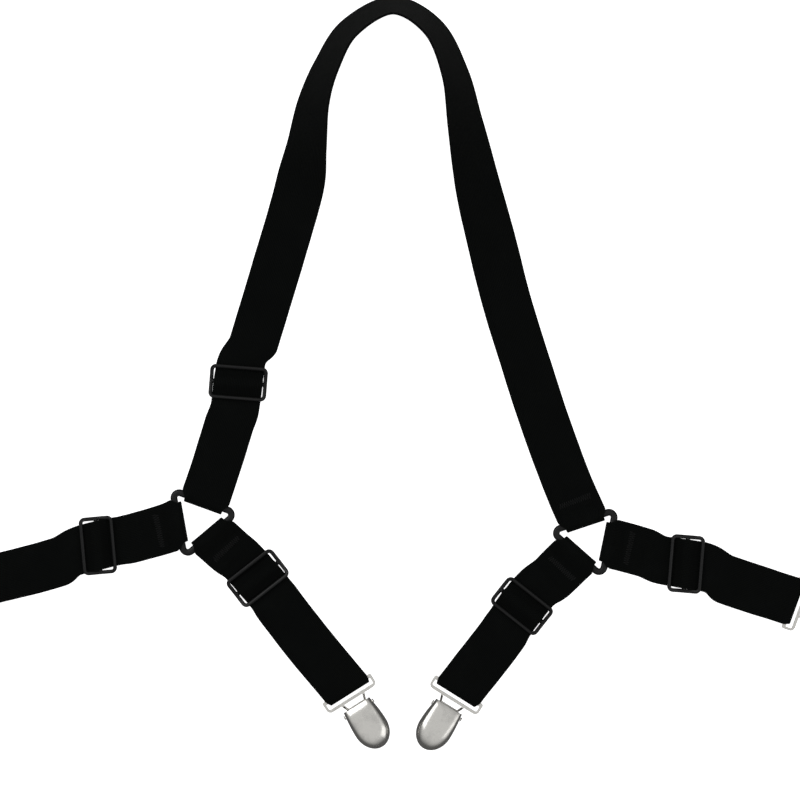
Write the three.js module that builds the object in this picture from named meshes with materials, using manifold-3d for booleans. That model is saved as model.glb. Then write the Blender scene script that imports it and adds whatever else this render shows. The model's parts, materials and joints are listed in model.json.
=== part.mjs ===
// Elastic strap set: one long strap in an arch, two three-way triangle rings and four short arms,
// each with a tri-glide adjuster and a lever clip. Millimetres, +Z up, lying on the plane z = 0.
import * as THREE from 'three';
import { mergeVertices } from 'three/addons/utils/BufferGeometryUtils.js';
import Module from 'manifold-3d';

const wasm = await Module();
wasm.setup();
const { degToRad, radToDeg, smoothstep } = THREE.MathUtils;

// ---- Driving dimensions, in millimetres and degrees ----

const strapWidth = 25.4;
const strapThickness = 1.25;
const floorHeight = strapThickness / 2; // of the middle line of a strap that lies on the floor
const lappedHeight = 2.0; // of the middle line of a strap that lies on another layer
const runStep = 7; // between two sections of a strap

const ringSize = {
  outer: 11.9,
  hole: 8.3,
  outerCorner: 4.5,
  holeCorner: 0.8,
  thickness: 2.6,
  bevel: 0.6,
  height: 3.525, // of the bars' axes above the floor
  loopRadius: 2.9, // of a strap's middle line round a bar
  loopWidth: 20.4, // three loops share the hole, so each is gathered to this width
};

const adjusterSize = {
  length: 17.6,
  width: 29.8,
  corner: 3,
  railWidth: 2,
  thickness: 1.8,
  barAt: 7.8, // from the centre bar to an outer bar's axis
  barWidth: 2,
  centreRadius: 0.85,
  height: 2.5, // of the centre bar's axis
  bow: 1.5, // the outer bars' axes stand this much higher
  innerWrap: 1.825, // of the middle line of the sewn end round the centre bar
  outerWrap: 3.325, // of the middle line of the layer that passes over it
  strapWidth: 24.6,
};

const bailSize = {
  height: 2.65, // of the bail bar's axis
  barHalf: 0.95, // half the bail bar's depth
  halfWidth: 14.6,
  slotHalfWidth: 13.4,
  slotEnd: 4.2,
  loopEnd: 5.7,
  corner: 2.4,
  foldRadius: 2.025, // of the strap's middle line round the bail bar
  strapWidth: 25.2,
  foldNarrowing: 2, // the strap's corners are drawn in where it folds
};

const clipSize = {
  sheet: 1,
  plateBottom: 0.3,
  plateHalf: 5.8,
  plateEnd: 31.7,
  neckHalf: 6.9,
  legWidth: 1.2,
  stepStart: 6.2, // the plate steps down to the floor between these two
  stepEnd: 8.7,
  pinAt: 11.5,
  pinHeight: 4.9,
  pinRadius: 0.7,
  pinHole: 1,
  earThickness: 0.8,
  earRadius: 1.65,
  earFoot: 1.7, // half the length of an ear where it stands on the plate
  jawHalf: 4.7,
  jawSheet: 0.8,
  jawBottom: 3.1,
  jawEnd: 30.6,
  leverRear: 9.05,
  leverEnd: 34.4,
  leverHalf: 9,
  leverWall: 0.8,
  leverTop: 8.6,
  leverRim: 2,
  padStart: 22.6,
  padEnd: 29.6,
};

// Each route is the middle line of a strap on the floor, from the ring bar where it is sewn to the bar
// where it folds back. The third number is the strap's roll about its own length, in degrees.
const longRoute = [
  [94.4, -61.92, 0],
  [85.5, -41.2, 0],
  [74.2, -10.3, 0],
  [64.2, 20.6, 0],
  [54.7, 51.5, 0],
  [46.9, 82.4, 7],
  [40, 110, 22],
  [33.6, 141.6, 43],
  [28.3, 167.3, 56],
  [17.2, 190.6, 62],
  [-3.6, 202.2, 65],
  [-25.9, 190.5, 62],
  [-37.5, 171.6, 57.6],
  [-44.5, 152, 49],
  [-48.2, 128.8, 33],
  [-52.7, 105.6, 0],
  [-63.9, 67, 0],
  [-75.6, 28.3, 0],
  [-92, -25.8, 0],
  [-100.56, -52.2, 0],
];
const longAdjuster = { fromEnd: 63.5, yaw: 9.4, shift: -1.7 };

const rings = {
  left: { centre: [-104, -61.7], longSide: 70.1 },
  right: { centre: [97.6, -71.5], longSide: 108.5 },
};

// Headings are the directions that a bar faces, counted from +X towards +Y.
const arms = {
  left_outer: {
    barHeading: 190.1,
    clipHeading: 198.5,
    adjusterAt: 42.9,
    adjusterYaw: -5.1,
    adjusterShift: -1.6,
    route: [[-113.94, -63.47], [-122.9, -67], [-148.6, -74.3], [-167.5, -80.7], [-185.4, -86.2],
      [-206, -91.4], [-216.2, -94.2]],
  },
  left_inner: {
    barHeading: 310.1,
    clipHeading: 302.2,
    adjusterAt: 32.8,
    adjusterYaw: -1.0,
    adjusterShift: 0.6,
    route: [[-97.2, -69.2], [-80.3, -85], [-67.7, -99], [-47, -125.5], [-27.2, -149.15]],
  },
  right_inner: {
    barHeading: 228.5,
    clipHeading: 238,
    adjusterAt: 38.9,
    adjusterYaw: 2.7,
    adjusterShift: -0.8,
    route: [[90.9, -79.06], [79.5, -90.3], [63.7, -106], [48.9, -126], [30.1, -149.9]],
  },
  right_outer: {
    barHeading: 348.5,
    clipHeading: 340,
    adjusterAt: 41,
    adjusterYaw: 9.5,
    adjusterShift: 0.8,
    route: [[107.5, -73.5], [123.6, -77.9], [146.9, -85.1], [175.1, -94.9], [202, -103.6]],
  },
};

const elastic = new THREE.MeshStandardMaterial({ color: 0x0c0e0d, roughness: 0.9, metalness: 0 });
const plastic = new THREE.MeshStandardMaterial({ color: 0x1a1b1b, roughness: 0.4, metalness: 0 });
const nickel = new THREE.MeshStandardMaterial({ color: 0xc9c8c2, roughness: 0.25, metalness: 1 });
const rubber = new THREE.MeshStandardMaterial({ color: 0x222222, roughness: 0.8, metalness: 0 });

// ---- Closed solids and their joins and cuts ----

// A closed three.js geometry as a solid: only the positions are kept, shared corners are merged and
// triangles that have shrunk to a line are dropped.
function solid(geometry) {
  const bare = new THREE.BufferGeometry();
  bare.setAttribute('position', geometry.attributes.position.clone());
  if (geometry.index) {
    bare.setIndex(geometry.index.clone());
  }
  const merged = mergeVertices(bare, 1e-4);
  const corners = [];
  for (let i = 0; i < merged.index.count; i += 3) {
    const [a, b, c] = [0, 1, 2].map((k) => merged.index.getX(i + k));
    if (a !== b && b !== c && a !== c) {
      corners.push(a, b, c);
    }
  }
  return new wasm.Manifold(new wasm.Mesh({
    numProp: 3,
    vertProperties: Float32Array.from(merged.attributes.position.array),
    triVerts: Uint32Array.from(corners),
  }));
}

function geometryOf(body) {
  const mesh = body.getMesh();
  const geometry = new THREE.BufferGeometry();
  geometry.setAttribute('position', new THREE.BufferAttribute(mesh.vertProperties, 3));
  geometry.setIndex(new THREE.BufferAttribute(mesh.triVerts, 1));
  geometry.computeVertexNormals();
  return geometry;
}

// A flat outline of [x, z] points, as a plate from y = -half to y = +half.
function sidePlate(outline, half, holes = []) {
  const shape = new THREE.Shape(outline.map(([x, z]) => new THREE.Vector2(x, z)));
  holes.forEach(([x, z, radius]) => {
    shape.holes.push(new THREE.Path().absarc(x, z, radius, 0, 2 * Math.PI, true));
  });
  const plate = new THREE.ExtrudeGeometry(shape, { depth: 2 * half, bevelEnabled: false, curveSegments: 8 });
  plate.translate(0, 0, -half);
  plate.rotateX(Math.PI / 2);
  return plate;
}

function block(xFrom, xTo, yFrom, yTo, zFrom, zTo) {
  const box = new THREE.BoxGeometry(xTo - xFrom, yTo - yFrom, zTo - zFrom);
  return box.translate((xFrom + xTo) / 2, (yFrom + yTo) / 2, (zFrom + zTo) / 2);
}

// A round bar across the piece, along y.
function crossBar(x, z, radius, half, sides = 16) {
  return new THREE.CylinderGeometry(radius, radius, 2 * half, sides).translate(x, 0, z);
}

// ---- Strap routes ----

// A route as a smooth curve: at(u) gives the point, the direction of travel and the roll at the distance
// u. Beyond either end it runs straight on.
function planRoute(points) {
  const line = new THREE.CatmullRomCurve3(
    points.map(([x, y]) => new THREE.Vector3(x, y, 0)), false, 'catmullrom', 0.5);
  const rolls = new THREE.CatmullRomCurve3(
    points.map(([, , roll = 0]) => new THREE.Vector3(roll, 0, 0)), false, 'catmullrom', 0.5);
  const count = 40 * (points.length - 1);
  const samples = [];
  let distance = 0;
  for (let i = 0; i <= count; i += 1) {
    const point = line.getPoint(i / count);
    distance += i ? point.distanceTo(samples[i - 1].point) : 0;
    samples.push({
      point,
      distance,
      along: line.getTangent(i / count),
      roll: degToRad(Math.max(0, rolls.getPoint(i / count).x)),
    });
  }
  const length = distance;
  function at(u) {
    const inside = Math.min(Math.max(u, 0), length);
    const next = Math.max(1, samples.findIndex((sample) => sample.distance >= inside));
    const [a, b] = [samples[next - 1], samples[next]];
    const part = (inside - a.distance) / (b.distance - a.distance);
    const along = a.along.clone().lerp(b.along, part).normalize();
    return {
      point: a.point.clone().lerp(b.point, part).addScaledVector(along, u - inside),
      along,
      across: new THREE.Vector3(-along.y, along.x, 0),
      heading: radToDeg(Math.atan2(along.y, along.x)),
      roll: a.roll + (b.roll - a.roll) * part,
    };
  }
  return { at, length };
}

// 1 up to `full`, falling smoothly to 0 at `none`.
function fade(distance, full, none) {
  return 1 - smoothstep(distance, full, none);
}

// How far a strap's sections lean along its length, so that they lie along a bar that faces `barHeading`.
function leanFor(barHeading, routeHeading) {
  return -Math.tan(degToRad(barHeading - routeHeading));
}

// A strap's width, lean and sideways sway along its route: gathered in the ring loops and in the
// adjuster's rails, a little narrower at the fold, leaning wherever a bar isn't square to the route, and
// swaying with the adjuster where that sits aside or askew.
function strapForm({ route, startHeading, endHeading, adjusterAt, yaw, shift, endsAtRing }) {
  const { length } = route;
  const adjusterHeading = route.at(adjusterAt).heading + yaw;
  const ringNarrowing = strapWidth - ringSize.loopWidth;
  const endNarrowing = endsAtRing ? ringNarrowing : strapWidth - bailSize.strapWidth;
  const [endFull, endNone] = endsAtRing ? [-2.2, 3] : [8, 16];
  const foldNarrowing = endsAtRing ? 0 : bailSize.foldNarrowing;
  return {
    width: (u) => strapWidth - ringNarrowing * fade(u, -2.2, 3)
      - (strapWidth - adjusterSize.strapWidth) * fade(Math.abs(u - adjusterAt), 10, 16)
      - endNarrowing * fade(length - u, endFull, endNone)
      - foldNarrowing * fade(length - u, -2.7, 1),
    lean: (u, heading) => leanFor(startHeading, heading) * fade(u, 6, 18)
      + leanFor(adjusterHeading, heading) * fade(Math.abs(u - adjusterAt), 9, 19)
      + leanFor(endHeading, heading) * fade(length - u, 5, 17),
    sway: (u) => (shift + (u - adjusterAt) * Math.tan(degToRad(yaw)))
      * fade(Math.abs(u - adjusterAt), 9, 22),
  };
}

// ---- Strap side profiles: [distance along the route, height] of the middle line ----

function arc(u, height, radius, degrees) {
  return degrees.map((angle) => [
    u + radius * Math.cos(degToRad(angle)),
    height + radius * Math.sin(degToRad(angle)),
  ]);
}

// Points between two distances at one height, without the two ends.
function run(from, to, height) {
  const count = Math.max(1, Math.ceil(Math.abs(to - from) / runStep));
  return Array.from({ length: count - 1 }, (_, i) => [from + ((to - from) * (i + 1)) / count, height]);
}

// From the tail sewn under the strap, round the ring bar, and along the floor to the adjuster.
function sewnProfile(adjusterAt) {
  return [
    [15, floorHeight],
    [7, floorHeight],
    ...arc(0, ringSize.height, ringSize.loopRadius, [270, 240, 210, 180, 150, 120, 90, 60]),
    [7.6, lappedHeight],
    [16, lappedHeight],
    [19.5, floorHeight],
    ...run(19.5, adjusterAt - 11, floorHeight),
    [adjusterAt - 11, floorHeight],
    [adjusterAt - 7.95, 1.4],
  ];
}

// From under the adjuster's first bar, over the centre bar, out to the fold, and back round the centre
// bar to the end that is sewn there.
function loopProfile(adjusterAt, end, barHeight, foldRadius) {
  const { height, innerWrap, outerWrap } = adjusterSize;
  return [
    [adjusterAt - 7.65, 1.42],
    [adjusterAt - 5.7, 1.5],
    ...arc(adjusterAt, height, outerWrap, [135, 112, 90, 71, 52]),
    [adjusterAt + 5.92, 2.1],
    [adjusterAt + 9.5, 2.05],
    ...run(adjusterAt + 9.5, end - 14, 2.05),
    [end - 14, 2.05],
    ...arc(end, barHeight, foldRadius, [105, 75, 45, 15, -15, -45, -70, -90]),
    [end - 6, floorHeight],
    ...run(end - 6, adjusterAt + 3, floorHeight),
    [adjusterAt + 3, 0.65],
    ...arc(adjusterAt, height, innerWrap, [270, 240, 210, 180, 150, 120, 90, 45]),
    [adjusterAt + 2.8, 2.28],
    [adjusterAt + 3.7, 2.12],
  ];
}

// A band of rectangular section carried along a side profile on a route. Where the route rolls, the
// strap turns about its right-hand edge, which stays on the floor.
function strapGeometry(route, form, profile) {
  const half = strapThickness / 2;
  const direction = (a, b) => new THREE.Vector2(b[0] - a[0], b[1] - a[1]).normalize();
  const corners = [];
  profile.forEach(([u, height], i) => {
    const before = i ? direction(profile[i - 1], profile[i]) : direction(profile[0], profile[1]);
    const after = i < profile.length - 1 ? direction(profile[i], profile[i + 1]) : before;
    const tangent = before.clone().add(after).normalize();
    const reach = half / tangent.dot(before);
    [[1, 1], [-1, 1], [-1, -1], [1, -1]].forEach(([side, face]) => {
      const uHere = u - face * reach * tangent.y;
      const heightHere = height + face * reach * tangent.x;
      const v = (side * form.width(uHere)) / 2;
      const { point, along, across, heading, roll } = route.at(uHere);
      const [sin, cos] = [Math.sin(roll), Math.cos(roll)];
      point.addScaledVector(across, form.sway(uHere) + v * cos - (heightHere - half) * sin);
      point.addScaledVector(along, v * form.lean(uHere, heading));
      corners.push(point.x, point.y, (v + Math.abs(v)) * sin + heightHere * cos);
    });
  });
  const faces = [];
  for (let i = 0; i < profile.length - 1; i += 1) {
    for (let k = 0; k < 4; k += 1) {
      const [a, b] = [4 * i + k, 4 * i + ((k + 1) % 4)];
      faces.push(a, b, b + 4, a, b + 4, a + 4);
    }
  }
  const last = 4 * (profile.length - 1);
  faces.push(0, 3, 2, 0, 2, 1, last, last + 1, last + 2, last, last + 2, last + 3);
  const geometry = new THREE.BufferGeometry();
  geometry.setAttribute('position', new THREE.Float32BufferAttribute(corners, 3));
  geometry.setIndex(faces);
  geometry.computeVertexNormals();
  return geometry;
}

// ---- Triangle ring ----

// A triangle with round corners, its sides facing 90, 210 and 330 degrees.
function roundedTriangle(path, inradius, corner) {
  const reach = 2 * (inradius - corner);
  [150, 270, 30].forEach((angle) => {
    const turn = degToRad(angle);
    const [from, to] = [degToRad(angle - 60), degToRad(angle + 60)];
    path.absarc(reach * Math.cos(turn), reach * Math.sin(turn), corner, from, to, false);
  });
  return path.closePath();
}

function ringGeometry() {
  const { outer, hole, outerCorner, holeCorner, thickness, bevel } = ringSize;
  const shape = roundedTriangle(new THREE.Shape(), outer, outerCorner);
  shape.holes.push(roundedTriangle(new THREE.Path(), hole, holeCorner));
  const geometry = new THREE.ExtrudeGeometry(shape, {
    depth: thickness - 2 * bevel,
    bevelEnabled: true,
    bevelSize: bevel,
    bevelThickness: bevel,
    bevelOffset: -bevel,
    bevelSegments: 2,
    curveSegments: 3,
  });
  return geometry.translate(0, 0, bevel - thickness / 2);
}

// ---- Tri-glide adjuster: x along the strap, y across it, z from the floor ----

function adjusterGeometry() {
  const { length, width, corner, railWidth, thickness, barAt, barWidth, centreRadius, height, bow } = adjusterSize;
  const bowAt = (x) => height + bow * Math.min(1, (x / barAt) ** 2);
  const steps = [-length / 2, -barAt, -5.2, -2.6, 0, 2.6, 5.2, barAt, length / 2];
  const railOutline = [
    ...steps.map((x) => [x, bowAt(x) - thickness / 2]),
    ...steps.toReversed().map((x) => [x, bowAt(x) + thickness / 2]),
  ];
  const railAt = (width - railWidth) / 2;
  const rail = () => sidePlate(railOutline, railWidth / 2);
  let body = solid(rail().translate(0, railAt, 0)).add(solid(rail().translate(0, -railAt, 0)));
  [-barAt, barAt].forEach((x) => {
    const bar = block(x - barWidth / 2, x + barWidth / 2, -railAt, railAt,
      height + bow - thickness / 2, height + bow + thickness / 2);
    body = body.add(solid(bar));
  });
  body = body.add(solid(crossBar(0, height, centreRadius, railAt, 12)));
  const outline = new THREE.Shape();
  const [x, y] = [length / 2 - corner, width / 2 - corner];
  outline.absarc(x, y, corner, 0, Math.PI / 2, false);
  outline.absarc(-x, y, corner, Math.PI / 2, Math.PI, false);
  outline.absarc(-x, -y, corner, Math.PI, 1.5 * Math.PI, false);
  outline.absarc(x, -y, corner, 1.5 * Math.PI, 2 * Math.PI, false);
  const envelope = new THREE.ExtrudeGeometry(outline, { depth: 10, bevelEnabled: false, curveSegments: 3 });
  return geometryOf(body.intersect(solid(envelope)));
}

// ---- Lever clip: x from the bail bar's axis towards the jaws, y across, z from the floor ----

// The plan outline of the bent sheet: the bail loop, the neck and the toothed plate.
function frameOutline() {
  const { barHalf, halfWidth, slotHalfWidth, slotEnd, loopEnd, corner } = bailSize;
  const { neckHalf, legWidth, plateHalf, plateEnd, stepEnd } = clipSize;
  const teeth = 4;
  const toothHalf = (plateHalf - 1.2) / teeth;
  const outline = new THREE.Shape();
  outline.moveTo(-barHalf, -halfWidth + 1);
  outline.lineTo(-barHalf, halfWidth - 1);
  outline.absarc(-barHalf + 1, halfWidth - 1, 1, Math.PI, Math.PI / 2, true);
  outline.absarc(loopEnd - corner, halfWidth - corner, corner, Math.PI / 2, 0, true);
  outline.lineTo(loopEnd, neckHalf);
  outline.lineTo(stepEnd, plateHalf);
  outline.lineTo(plateEnd - 1.2, plateHalf);
  for (let i = 0; i <= 2 * teeth; i += 1) {
    outline.lineTo(plateEnd - (i % 2), plateHalf - 1.2 - i * toothHalf);
  }
  outline.lineTo(plateEnd - 1.2, -plateHalf);
  outline.lineTo(stepEnd, -plateHalf);
  outline.lineTo(loopEnd, -neckHalf);
  outline.absarc(loopEnd - corner, -halfWidth + corner, corner, 0, -Math.PI / 2, true);
  outline.absarc(-barHalf + 1, -halfWidth + 1, 1, -Math.PI / 2, -Math.PI, true);
  const slot = new THREE.Path();
  const slotCorner = 0.8;
  slot.absarc(slotEnd - slotCorner, slotHalfWidth - slotCorner, slotCorner, 0, Math.PI / 2, false);
  slot.lineTo(barHalf, slotHalfWidth);
  slot.lineTo(barHalf, -slotHalfWidth);
  slot.absarc(slotEnd - slotCorner, -slotHalfWidth + slotCorner, slotCorner, -Math.PI / 2, 0, false);
  slot.closePath();
  const [wide, narrow] = [neckHalf - legWidth, plateHalf - legWidth];
  const neckWindow = new THREE.Path([[loopEnd, -wide], [stepEnd, -narrow], [stepEnd, narrow], [loopEnd, wide]]
    .map(([x, y]) => new THREE.Vector2(x, y)));
  outline.holes.push(slot, neckWindow);
  return outline;
}

// An eye round the clip's pin on a foot that stands between two distances.
function eyeOutline(footStart, footEnd, footHeight, radius) {
  const { pinAt, pinHeight } = clipSize;
  return [[footStart, footHeight], [footEnd, footHeight], ...arc(pinAt, pinHeight, radius,
    [-10, 15, 40, 65, 90, 115, 140, 165, 190])];
}

function frameGeometry() {
  const { sheet, plateBottom, plateHalf, plateEnd, stepStart, stepEnd } = clipSize;
  const { pinAt, pinHeight, pinHole, earThickness, earRadius, earFoot } = clipSize;
  const [top, bottom] = [bailSize.height + sheet / 2, bailSize.height - sheet / 2];
  const bend = 0.35; // the step's lower side starts and ends this much before its upper side
  const section = sidePlate([
    [-bailSize.barHalf, bottom], [stepStart - bend, bottom], [stepEnd - bend, plateBottom],
    [plateEnd, plateBottom], [plateEnd, plateBottom + sheet], [stepEnd, plateBottom + sheet],
    [stepStart, top], [-bailSize.barHalf, top],
  ], bailSize.halfWidth + 1);
  const plan = new THREE.ExtrudeGeometry(frameOutline(), { depth: 8, bevelEnabled: false, curveSegments: 3 });
  let body = solid(section).intersect(solid(plan.translate(0, 0, -2)));
  const earAt = plateHalf - earThickness / 2;
  [-earAt, earAt].forEach((y) => {
    const outline = eyeOutline(pinAt - earFoot, pinAt + earFoot, plateBottom + sheet / 2, earRadius);
    body = body.add(solid(sidePlate(outline, earThickness / 2, [[pinAt, pinHeight, pinHole]]).translate(0, y, 0)));
  });
  return geometryOf(body);
}

function jawGeometry() {
  const { pinAt, pinHeight, pinHole, jawHalf, jawSheet, jawBottom, jawEnd } = clipSize;
  const jawTop = jawBottom + jawSheet;
  const lip = 0.35; // the toothed lip dips this far below the sheet
  const rear = pinAt - 1.9;
  const section = sidePlate([
    [rear, jawBottom], [jawEnd - 2.4, jawBottom], [jawEnd - 0.8, jawBottom - lip], [jawEnd, jawBottom - lip],
    [jawEnd, jawTop - lip], [jawEnd - 2, jawTop], [rear, jawTop],
  ], jawHalf);
  const tipHalf = jawHalf - 1.1;
  const teeth = 4;
  const plan = new THREE.Shape();
  plan.moveTo(rear - 1, -jawHalf);
  plan.lineTo(jawEnd - 4, -jawHalf);
  for (let i = 0; i <= 2 * teeth; i += 1) {
    plan.lineTo(jawEnd - 0.9 * (i % 2), -tipHalf + (i * tipHalf) / teeth);
  }
  plan.lineTo(jawEnd - 4, jawHalf);
  plan.lineTo(rear - 1, jawHalf);
  const prism = new THREE.ExtrudeGeometry(plan, { depth: 8, bevelEnabled: false });
  let body = solid(section).intersect(solid(prism));
  const lugAt = jawHalf - jawSheet / 2;
  [-lugAt, lugAt].forEach((y) => {
    const outline = eyeOutline(rear, pinAt + 1.9, jawBottom + jawSheet / 2, 1.7);
    body = body.add(solid(sidePlate(outline, jawSheet / 2, [[pinAt, pinHeight, pinHole]]).translate(0, y, 0)));
  });
  return geometryOf(body);
}

// A closed dome: a long plan with a straight rear and an elliptical tip, its cross-sections boxy at the
// rear and rounder at the tip. `inset` makes the same dome smaller all round, and longer at the rear and
// below, to hollow it out.
function domeSolid(inset) {
  const { leverRear, leverEnd, leverHalf, leverTop, leverRim } = clipSize;
  const end = leverEnd - inset;
  const bottom = leverRim - (inset ? 1 : 0);
  const [lengthSteps, widthSteps] = [11, 10];
  const shoulder = 0.55; // share of the length where the tip begins to close
  const section = (x, share) => {
    const closing = Math.max(0, (share - shoulder) / (1 - shoulder));
    const swell = 0.86 + 0.14 * Math.sin((Math.PI / 2) * Math.min(share / shoulder, 1));
    const halfWidth = (leverHalf * swell - inset) * Math.sqrt(1 - closing ** 2);
    const rise = 1 - 0.13 * (1 - Math.min(share / 0.18, 1)) ** 2;
    const height = (leverTop * rise - inset - leverRim) * (1 - closing ** 2.6) ** (1 / 2.2);
    const boxiness = 0.35 + 0.4 * share;
    return Array.from({ length: widthSteps + 1 }, (_, j) => {
      const turn = (Math.PI * j) / widthSteps;
      const [cos, sin] = [Math.cos(turn), Math.sin(turn)];
      const y = halfWidth * Math.sign(cos) * Math.abs(cos) ** boxiness;
      return [x, y, leverRim + height * sin ** boxiness];
    });
  };
  const rings = [];
  for (let i = 0; i <= lengthSteps; i += 1) {
    const share = Math.sin((Math.PI / 2) * (i / lengthSteps));
    rings.push(section(leverRear + (end - leverRear) * share, share));
  }
  if (inset) {
    rings.unshift(section(leverRear, 0).map(([, y, z]) => [leverRear - 2, y, z]));
  }
  const skirted = rings.map((ring) => [[ring[0][0], ring[0][1], bottom], ...ring,
    [ring[0][0], ring[widthSteps][1], bottom]]);
  const corners = skirted.flat(2);
  const around = widthSteps + 3;
  const faces = [];
  for (let i = 0; i < skirted.length - 1; i += 1) {
    for (let j = 0; j < around; j += 1) {
      const [a, b] = [i * around + j, i * around + ((j + 1) % around)];
      faces.push(a, b, b + around, a, b + around, a + around);
    }
  }
  for (let j = 1; j < around - 1; j += 1) {
    faces.push(0, j + 1, j);
  }
  const geometry = new THREE.BufferGeometry();
  geometry.setAttribute('position', new THREE.Float32BufferAttribute(corners, 3));
  geometry.setIndex(faces);
  return solid(geometry);
}

function leverGeometry() {
  const { leverRear, leverHalf, leverWall, leverRim, pinAt, pinHeight, pinHole } = clipSize;
  const rib = block(13.9, 15.1, -4.2, 4.2, 4.25, 7.9); // presses the jaw shut
  const heel = sidePlate([[leverRear - 1, 0], [17, 0], [17, leverRim], [12, 3.3], [leverRear - 1, 3.9]],
    leverHalf + 1);
  const body = domeSolid(0)
    .subtract(domeSolid(leverWall))
    .subtract(solid(heel))
    .add(solid(rib))
    .subtract(solid(crossBar(pinAt, pinHeight, pinHole, leverHalf + 1)));
  return geometryOf(body);
}

function pinGeometry() {
  const { pinAt, pinHeight, pinRadius } = clipSize;
  const headRadius = 1.3;
  const [headInner, headOuter] = [8.5, 8.9];
  const profile = [[0, -headOuter], [headRadius, -headOuter], [headRadius, -headInner], [pinRadius, -headInner],
    [pinRadius, headInner], [headRadius, headInner], [headRadius, headOuter], [0, headOuter]];
  const lathe = new THREE.LatheGeometry(profile.map(([r, y]) => new THREE.Vector2(r, y)), 12);
  return lathe.translate(pinAt, 0, pinHeight);
}

function padGeometry() {
  const { padStart, padEnd, plateBottom, sheet } = clipSize;
  const base = plateBottom + sheet + 0.3;
  const ridges = 5;
  const pitch = (padEnd - padStart) / ridges;
  const outline = [[padStart, base], [padEnd, base]];
  for (let i = ridges - 1; i >= 0; i -= 1) {
    const x = padStart + i * pitch;
    outline.push([x + pitch, base + 0.5], [x + pitch * 0.65, base + 0.9], [x + pitch * 0.35, base + 0.9]);
  }
  outline.push([padStart, base + 0.5]);
  return sidePlate(outline, 5);
}

// ---- Assembly ----

const suspenders = new THREE.Group();

// Adds a mesh whose own origin is at `pivot`, given in the coordinates that the geometry is drawn in.
function addPiece(parent, name, geometry, material, pivot = [0, 0, 0]) {
  const mesh = new THREE.Mesh(geometry.clone().translate(...pivot.map((value) => -value)), material);
  mesh.name = name;
  mesh.position.set(...pivot);
  parent.add(mesh);
}

function frameAt(x, y, heading) {
  const frame = new THREE.Group();
  frame.position.set(x, y, 0);
  frame.rotation.z = degToRad(heading);
  suspenders.add(frame);
  return frame;
}

// The two nodes of one strap and its adjuster, which sits `shift` to the left of the strap's middle.
function addStrap(name, form, ends) {
  const { route, adjusterAt, yaw, shift } = form;
  const shape = strapForm(form);
  const lower = loopProfile(adjusterAt, route.length, ends.barHeight, ends.foldRadius);
  addPiece(suspenders, `${name}_strap`, strapGeometry(route, shape, sewnProfile(adjusterAt)), elastic);
  addPiece(suspenders, `${name}_strap_loop`, strapGeometry(route, shape, lower), elastic);
  const { point, across, heading } = route.at(adjusterAt);
  point.addScaledVector(across, shift);
  const frame = frameAt(point.x, point.y, heading + yaw);
  addPiece(frame, `${name}_adjuster`, adjusterShape, plastic, [0, 0, adjusterSize.height]);
}

const ringShape = ringGeometry();
const adjusterShape = adjusterGeometry();
const clipShapes = [
  ['clip_frame', frameGeometry(), nickel, [0, 0, bailSize.height]],
  ['clip_pin', pinGeometry(), nickel, [clipSize.pinAt, 0, clipSize.pinHeight]],
  ['clip_jaw', jawGeometry(), nickel, [clipSize.pinAt, 0, clipSize.pinHeight]],
  ['clip_lever', leverGeometry(), nickel, [clipSize.pinAt, 0, clipSize.pinHeight]],
  ['grip_pad', padGeometry(), rubber, [clipSize.padStart, 0, clipSize.plateBottom + clipSize.sheet]],
];

Object.entries(rings).forEach(([side, { centre, longSide }]) => {
  const frame = frameAt(...centre, longSide - 90);
  addPiece(frame, `ring_${side}`, ringShape.clone().translate(0, 0, ringSize.height), plastic,
    [0, 0, ringSize.height]);
});

const longPlan = planRoute(longRoute);
addStrap('long', {
  route: longPlan,
  startHeading: rings.right.longSide,
  endHeading: rings.left.longSide + 180,
  adjusterAt: longPlan.length - longAdjuster.fromEnd,
  yaw: longAdjuster.yaw,
  shift: longAdjuster.shift,
  endsAtRing: true,
}, { barHeight: ringSize.height, foldRadius: ringSize.loopRadius });

Object.entries(arms).forEach(([name, arm]) => {
  const { barHeading, clipHeading, adjusterAt, adjusterYaw, adjusterShift, route } = arm;
  const plan = planRoute(route);
  addStrap(name, {
    route: plan,
    startHeading: barHeading,
    endHeading: clipHeading,
    adjusterAt,
    yaw: adjusterYaw,
    shift: adjusterShift,
    endsAtRing: false,
  }, { barHeight: bailSize.height, foldRadius: bailSize.foldRadius });
  const frame = frameAt(...route.at(-1), clipHeading);
  clipShapes.forEach(([part, geometry, material, pivot]) => {
    addPiece(frame, `${name}_${part}`, geometry, material, pivot);
  });
});

// The origin is under the middle of the whole piece.
const bounds = new THREE.Box3().setFromObject(suspenders, true);
const middle = bounds.getCenter(new THREE.Vector3());
suspenders.position.set(-middle.x, -middle.y, -bounds.min.z);

export default suspenders;
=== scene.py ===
# Elastic strap set: one long strap in an arch, two triangle rings and four short arms with lever clips.
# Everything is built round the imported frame. Shapes are worked out in millimetres and stored in metres.
import json
from math import atan2, cos, degrees, pi, radians, sin

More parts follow.
